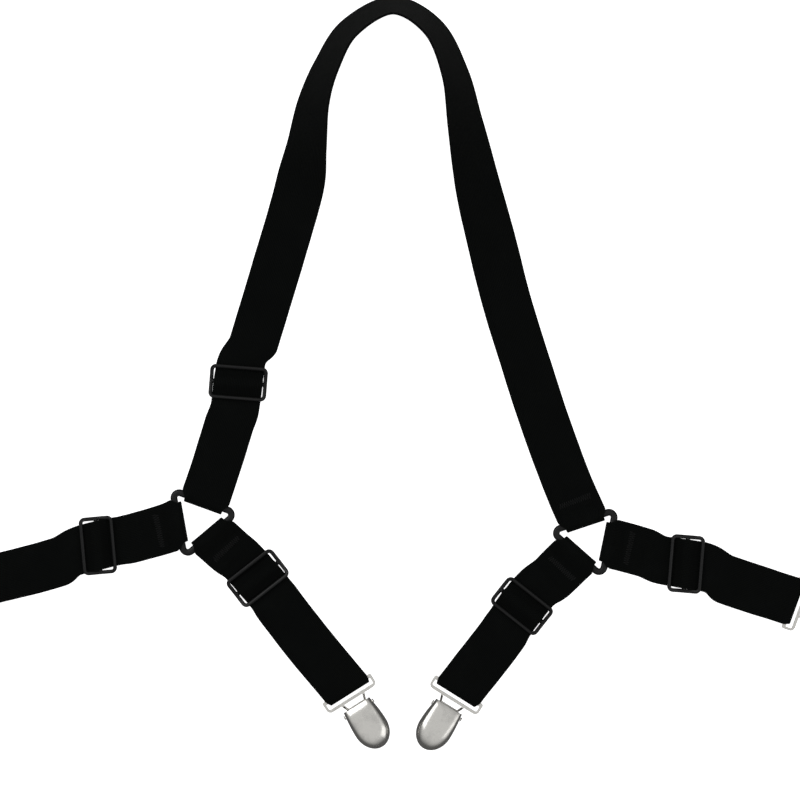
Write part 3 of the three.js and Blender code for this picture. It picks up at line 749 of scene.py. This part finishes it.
ringPlaces = {side: ringPlace(side) for side in ("left", "right")}
clipPlaces = {arm: clipPlace(arm) for arm in armNames}
routeShift = np.array(ringPlaces["left"][:2]) - routeOrigin
longBand = Band("long", longRoute, routeShift, ringPlaces["right"][2], ringPlaces["left"][2] + 180,
                strapLooks["ringLoop"])
makeBand(longBand, longBand.adjusterAt - 130, turned=-33)
print("long strap: %.0f mm from bar to bar" % longBand.route.length)
for arm in armNames:
    barHeading = headingOf(joints[f"{arm}_fold"]["axis"]) + 90
    band = Band(arm, armRoutes[arm], routeShift, barHeading, clipPlaces[arm][2], strapLooks["bailLoop"])
    makeBand(band, 3.5)
    print("%s strap: %.0f mm from bar to bar" % (arm, band.route.length))


# ---- Triangle rings ----

# A triangle with round corners, sides facing 90, 210 and 330 degrees: an arc about each corner's centre,
# then a straight side. Two such outlines sampled alike match point for point.
def triangleOutline(inradius, corner, samples):
    reachOut = 2 * (inradius - corner)
    stretches = []
    for k, angle in enumerate((150, 270, 30)):
        turn = np.radians(np.linspace(angle - 60, angle + 60, samples, endpoint=False))
        centre = reachOut * toward(angle)
        stretches.append(centre + corner * np.stack([np.cos(turn), np.sin(turn)], axis=1))
        start = centre + corner * toward(angle + 60)
        stop = reachOut * toward(angle + 120) + corner * toward(angle + 60)
        stretches.append(start + (stop - start) * np.linspace(0, 1, samples, endpoint=False)[:, None])
    return np.vstack(stretches)


# The bar between the hole's outline and the outer outline, with a section that is a rounded box:
# across it a power of the cosine, and up it a power of the sine.
def ringShell():
    looks = ringLooks
    outer = triangleOutline(looks["outer"], looks["outerCorner"], looks["samples"])
    hole = triangleOutline(looks["hole"], looks["holeCorner"], looks["samples"])
    turn = np.linspace(0, 2 * pi, looks["around"], endpoint=False)
    c, s = (np.sign(f) * np.abs(f) ** looks["boxiness"] for f in (np.cos(turn), np.sin(turn)))
    plan = (outer + hole)[:, None] / 2 + (outer - hole)[:, None] / 2 * c[None, :, None]
    height = np.broadcast_to(looks["height"] + looks["thickness"] / 2 * s, plan.shape[:2])
    grid = np.concatenate([plan, height[..., None]], axis=-1)
    return gridShell(grid, plan, closeRows=True)


for side, (x, y, heading) in ringPlaces.items():
    ring = makePiece(f"ring_{side}_moulding", [ringShell()], ringPlastic,
                     (x, y, heading - 90), crease=80)
    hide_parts(f"ring_{side}")
    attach(ring, f"ring_{side}")
print("rings: 2")


# ---- Tri-glide adjusters ----

adjusterLooks = {
    "halfLength": 7.8,  # to an outer bar's axis
    "halfWidth": 13.9,  # to a rail's axis
    "corner": 2.0,
    "barHalf": 1.0,
    "thickHalf": 0.9,
    "height": 2.5,
    "bow": 1.5,  # the outer bars stand this much higher than the centre bar
    "centreRadius": 0.85,
    "flare": 0.35,  # the centre bar thickens where it meets the rails
    "boxiness": 0.6,
}


# A rectangle with round corners and its outward directions, each corner an arc and each side straight.
def roundedRectangle(halfX, halfY, corner, samples):
    points, outward = [], []
    corners = [(halfX - corner, halfY - corner), (corner - halfX, halfY - corner),
               (corner - halfX, corner - halfY), (halfX - corner, corner - halfY)]
    for k, centre in enumerate(corners):
        turn = np.radians(np.linspace(90 * k, 90 * k + 90, samples))
        facing = np.stack([np.cos(turn), np.sin(turn)], axis=1)
        points.append(centre + corner * facing)
        outward.append(facing)
        start, stop = points[-1][-1], corners[(k + 1) % 4] + corner * facing[-1]
        between = np.linspace(0, 1, samples + 2)[1:-1, None]
        points.append(start + (stop - start) * between)
        outward.append(np.repeat(facing[-1:], samples, axis=0))
    return np.vstack(points), np.vstack(outward)


# The rim: a rounded box section carried round that rectangle, its height rising as the square of the
# distance along the strap. The centre bar: a tube whose radius swells towards its two ends.
def adjusterShells():
    looks = adjusterLooks
    line, outward = roundedRectangle(looks["halfLength"], looks["halfWidth"], looks["corner"], 12)
    turn = np.linspace(0, 2 * pi, 24, endpoint=False)
    c, s = (np.sign(f) * np.abs(f) ** looks["boxiness"] for f in (np.cos(turn), np.sin(turn)))
    plan = line[:, None] + outward[:, None] * looks["barHalf"] * c[None, :, None]
    rise = looks["bow"] * np.minimum(1, (plan[..., 0] / looks["halfLength"]) ** 2)
    height = looks["height"] + rise + looks["thickHalf"] * s
    rim = gridShell(np.concatenate([plan, height[..., None]], axis=-1), plan, closeRows=True)
    y = np.linspace(-looks["halfWidth"], looks["halfWidth"], 61)
    fromFlare = looks["halfWidth"] - 1 - np.abs(y)
    radius = looks["centreRadius"] + looks["flare"] * np.exp(-(fromFlare / 0.7) ** 2)
    bar = np.stack([radius[:, None] * np.cos(turn), np.repeat(y[:, None], len(turn), axis=1),
                    looks["height"] + radius[:, None] * np.sin(turn)], axis=-1)
    return [rim, gridShell(bar, bar[..., :2], caps=True)]


for name in ["long"] + armNames:
    slider = makePiece(f"{name}_tri_glide", adjusterShells(), adjusterPlastic,
                       adjusterPlace(name), crease=80)
    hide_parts(f"{name}_adjuster")
    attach(slider, f"{name}_adjuster")
print("adjusters: %d" % (1 + len(armNames)))


# ---- Lever clips: x from the bail bar towards the jaws, y across, z from the floor ----

leverLooks = {
    "rear": 9.05,
    "end": 34.4,
    "half": 9.0,
    "top": 8.6,
    "rim": 2.0,
    "wall": 0.8,
    "shoulder": 0.55,  # share of the length where the tip begins to close
    "heel": ((8.05, 12, 17), (3.9, 3.3, 2.0)),  # height of the side walls' lower edge, from the rear on
    "rows": 64,
    "columns": 72,
    "pinAt": 11.5,
    "pinHeight": 4.9,
    "pinHole": 0.95,
}


# The dome: at a share s of its length the half width swells as a sine and closes as an ellipse at the
# tip, the height rises over the rear and falls at the tip, and each cross-section is a superellipse that
# is boxy at the rear and rounder at the tip. `inset` makes the same dome smaller all round.
def domeSurface(inset):
    looks = leverLooks
    share = np.sin(np.linspace(0, pi / 2, looks["rows"]))
    x = looks["rear"] + (looks["end"] - inset - looks["rear"]) * share
    closing = np.maximum(0, (share - looks["shoulder"]) / (1 - looks["shoulder"]))
    swell = 0.86 + 0.14 * np.sin(pi / 2 * np.minimum(share / looks["shoulder"], 1))
    halfWidth = (looks["half"] * swell - inset) * np.sqrt(np.maximum(0, 1 - closing ** 2))
    rise = 1 - 0.13 * (1 - np.minimum(share / 0.18, 1)) ** 2
    height = (looks["top"] * rise - inset - looks["rim"]) * np.maximum(0, 1 - closing ** 2.6) ** (1 / 2.2)
    boxiness = 0.35 + 0.4 * share
    above = np.interp(x, *looks["heel"]) - looks["rim"]
    start = np.arcsin(np.clip(above / np.maximum(height, 1e-6), 0, 1) ** (1 / boxiness))
    turn = start[:, None] + (pi - 2 * start)[:, None] * np.linspace(0, 1, looks["columns"])
    c, s = np.cos(turn), np.maximum(np.sin(turn), 0)
    power = boxiness[:, None]
    y = halfWidth[:, None] * np.sign(c) * np.abs(c) ** power
    z = looks["rim"] + height[:, None] * s ** power
    return np.stack([np.broadcast_to(x[:, None], y.shape), y, z], axis=-1)


# The outer and inner domes joined at their rims into one pressed wall, closed at the rear by a strip.
def leverShell():
    outer, inner = domeSurface(0), domeSurface(leverLooks["wall"])
    wall = np.concatenate([outer, inner[:, ::-1]], axis=1)
    rows, columns = wall.shape[:2]
    faces = gridFaces(rows, columns)
    half = leverLooks["columns"]
    faces += [[k, k + 1, columns - 2 - k, columns - 1 - k] for k in range(half - 1)]
    return wall.reshape(-1, 3), faces, wall[..., :2].reshape(-1, 2)


# A bar across the clip, turned from a profile of [radius, y] points about the pin's axis.
def turnedShell(profile, x, height, around=28):
    radius, y = np.array(profile, float).T
    turn = np.linspace(0, 2 * pi, around, endpoint=False)
    grid = np.stack([x + radius[:, None] * np.cos(turn), np.repeat(y[:, None], around, axis=1),
                     height + radius[:, None] * np.sin(turn)], axis=-1)
    return gridShell(grid, grid[..., :2])


# A box with round edges: each axis is a power of a sine or cosine, stretched to the box's half sizes.
def roundedBox(low, high, power=0.16, rows=24, columns=40):
    low, high = np.array(low, float), np.array(high, float)
    a = np.linspace(-pi / 2, pi / 2, rows)[:, None]
    b = np.linspace(0, 2 * pi, columns, endpoint=False)[None, :]
    boxed = [np.sign(f) * np.abs(f) ** power for f in (np.cos(a), np.sin(a), np.cos(b), np.sin(b))]
    unit = np.stack(np.broadcast_arrays(boxed[0] * boxed[2], boxed[0] * boxed[3], boxed[1]), axis=-1)
    grid = (low + high) / 2 + unit * (high - low) / 2
    return gridShell(grid, grid[..., :2])


pinLooks = {"radius": 0.7, "shank": 8.45, "headRadius": 1.3, "headEnd": 8.92}


# The pin: a straight shank and a low domed head at each end.
def pinProfile():
    looks = pinLooks
    turn = np.linspace(0, pi / 2, 9)
    headR = looks["headRadius"] * np.cos(turn)
    headY = looks["shank"] + (looks["headEnd"] - looks["shank"]) * np.sin(turn) ** 0.8
    side = [(looks["radius"], 0), (looks["radius"], looks["shank"])] + list(zip(headR, headY))
    return [(r, -y) for r, y in side[:0:-1]] + side


def makeLever(arm, place):
    looks = leverLooks
    rib = roundedBox((13.9, -4.2, 4.3), (15.1, 4.2, 7.95))
    lever = makePiece(f"{arm}_lever_dome", [leverShell()], nickel, place, crease=38)
    hole = turnedShell([(0, -12), (looks["pinHole"], -12), (looks["pinHole"], 12), (0, 12)],
                       looks["pinAt"], looks["pinHeight"])
    drill = makePiece(f"{arm}_drill", [hole], nickel, place)
    finished(lever, "BOOLEAN", {"object": drill, "operation": "DIFFERENCE", "solver": "EXACT"})
    bpy.data.objects.remove(drill)
    presser = makePiece(f"{arm}_lever_rib", [rib], nickel, place, crease=60)
    shade(lever.data, 38)
    rounded(lever, 0.16, angle=50)
    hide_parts(f"{arm}_clip_lever")
    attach(lever, f"{arm}_lever")
    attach(presser, f"{arm}_lever")


for arm in armNames:
    place = clipPlaces[arm]
    makeLever(arm, place)
    pin = makePiece(f"{arm}_pin", [turnedShell(pinProfile(), leverLooks["pinAt"], leverLooks["pinHeight"])],
                    nickel, place)
    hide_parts(f"{arm}_clip_pin")
    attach(pin, f"{arm}_clip")
    for node, material, slotName, body, width in (
            ("clip_frame", nickel, "nickel_plate", "clip", 0.14),
            ("clip_jaw", nickel, "nickel_plate", "jaw", 0.12),
            ("grip_pad", gripPlastic, "grip_plastic", "clip", 0.12)):
        piece = roundedCopy(f"{arm}_{node}_rounded", f"{arm}_{node}", material, place, width)
        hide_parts(f"{arm}_{node}")
        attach(piece, f"{arm}_{body}")
print("clips: %d" % len(armNames))


# ---- Floor, lights and camera ----

studio = {
    "floorHalf": 5.0,
    "floorGlow": 0.9,
    "zenith": 0.62,
    "horizon": 0.1,
    "horizonTop": 0.15,  # rise of a direction at which the sky starts to brighten
    "cameraHeight": 2.2,
    "across": 0.412,  # width of the floor that the camera sees
    "aim": (0.0032, 0.0666),  # from the middle between the rings
}


def paleFloor():
    finish = Finish("pale_floor")
    grain = finish.noise(finish.place(), 30, 2)
    return finish.close({
        "Base Color": finish.colours(grain, (0.86, 0.86, 0.86), (0.88, 0.88, 0.88)),
        "Roughness": 0.9,
        "Specular IOR Level": 0.1,
        "Emission Color": (1, 1, 1, 1),
        "Emission Strength": studio["floorGlow"],
    })


half, under = studio["floorHalf"], cadLow.z - 0.0001
floorMesh = bpy.data.meshes.new("floor")
corners = [(-half, -half, under), (half, -half, under), (half, half, under), (-half, half, under)]
floorMesh.from_pydata(corners, [], [(0, 1, 2, 3)])
floorMesh.materials.append(paleFloor())
floor = bpy.data.objects.new("floor", floorMesh)
bpy.context.scene.collection.objects.link(floor)
floor.visible_glossy = False


# A square soft light at a place, turned to face the middle of the object. Only a seen one is reflected.
def softLight(name, position, size, power, seen):
    light = bpy.data.lights.new(name, "AREA")
    light.size = size
    light.energy = power
    lamp = bpy.data.objects.new(name, light)
    lamp.location = position
    lamp.rotation_euler = (-lamp.location).to_track_quat("-Z", "Y").to_euler()
    lamp.visible_camera = False
    lamp.visible_glossy = seen
    bpy.context.scene.collection.objects.link(lamp)


softLight("key_light", (-1.1, 0.9, 1.7), 1.6, 14, True)
softLight("fill_light", (1.4, -0.5, 1.3), 1.4, 5, True)
softLight("top_light", (0.1, 0.1, 2.9), 1.1, 12, False)


# A sky that is dark at the horizon and below it, and brightens smoothly up to the zenith.
def softSky():
    world = bpy.data.worlds.new("studio")
    world.use_nodes = True
    nodes, links = world.node_tree.nodes, world.node_tree.links
    direction = nodes.new("ShaderNodeTexCoord")
    split = nodes.new("ShaderNodeSeparateXYZ")
    rise = nodes.new("ShaderNodeMapRange")
    rise.interpolation_type = "SMOOTHSTEP"
    limits = (studio["horizonTop"], 1.0, studio["horizon"], studio["zenith"])
    for number, value in enumerate(limits, 1):
        rise.inputs[number].default_value = value
    links.new(direction.outputs["Generated"], split.inputs[0])
    links.new(split.outputs["Z"], rise.inputs[0])
    links.new(rise.outputs[0], nodes["Background"].inputs["Color"])
    return world


bpy.context.scene.world = softSky()
bpy.context.scene.view_settings.view_transform = "Standard"

camera = bpy.data.cameras.new("camera")
camera.lens = camera.sensor_width * studio["cameraHeight"] / studio["across"]
camera.clip_end = 50
eye = bpy.data.objects.new("camera", camera)
middle = (np.array(ringPlaces["left"][:2]) + ringPlaces["right"][:2]) / 2 * mm + studio["aim"]
eye.location = (*middle, studio["cameraHeight"])
bpy.context.scene.collection.objects.link(eye)
bpy.context.scene.camera = eye
print("floor, lights and camera")
